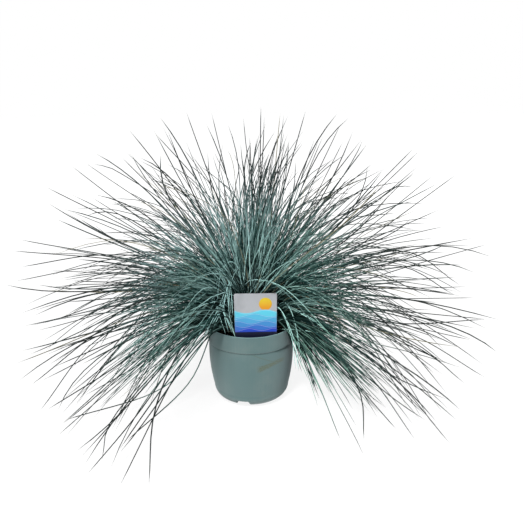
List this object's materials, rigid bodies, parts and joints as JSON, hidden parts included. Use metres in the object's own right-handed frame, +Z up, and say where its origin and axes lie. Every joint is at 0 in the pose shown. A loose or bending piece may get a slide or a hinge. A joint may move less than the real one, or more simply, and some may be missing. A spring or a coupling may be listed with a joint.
{
  "type": "potted grass plant",
  "caption": "Clump of blue-green fescue grass in a round nursery pot, its fine blades fanning out over the rim, with a plant label in the soil.",
  "frame": {"origin": "centre of the pot's flat base", "axes": "+Z up along the pot's axis; -Y to the front, where the label stands; +X to the right seen from the front"},
  "size_m": [0.6354, 0.5765, 0.3909],
  "materials": {
    "pot_plastic": "matte, moulded",
    "soil": "crumbly potting compost",
    "label_card": "printed thin plastic",
    "crown": "fibrous old leaf bases",
    "blades": "waxy blue-green leaf"
  },
  "bodies": {
    "root": {"pot": "pot_plastic", "soil": "soil", "label": "label_card", "crown": "crown", "tuft_01": "blades", "tuft_02": "blades", "tuft_03": "blades", "tuft_04": "blades", "tuft_05": "blades", "tuft_06": "blades", "tuft_07": "blades", "tuft_08": "blades", "tuft_09": "blades", "tuft_10": "blades", "tuft_11": "blades", "tuft_12": "blades", "tuft_13": "blades", "tuft_14": "blades", "tuft_15": "blades", "tuft_16": "blades", "tuft_17": "blades", "tuft_18": "blades", "tuft_19": "blades", "tuft_20": "blades", "tuft_21": "blades", "tuft_22": "blades", "tuft_23": "blades", "tuft_24": "blades", "tuft_25": "blades", "tuft_26": "blades", "tuft_27": "blades", "tuft_28": "blades", "tuft_29": "blades", "tuft_30": "blades", "tuft_31": "blades", "tuft_32": "blades", "tuft_33": "blades", "tuft_34": "blades", "tuft_35": "blades", "tuft_36": "blades", "tuft_37": "blades", "tuft_38": "blades", "tuft_39": "blades", "tuft_40": "blades", "tuft_41": "blades", "tuft_42": "blades", "tuft_43": "blades", "tuft_44": "blades", "tuft_45": "blades", "tuft_46": "blades", "tuft_47": "blades", "tuft_48": "blades"}
  },
  "joints": []
}
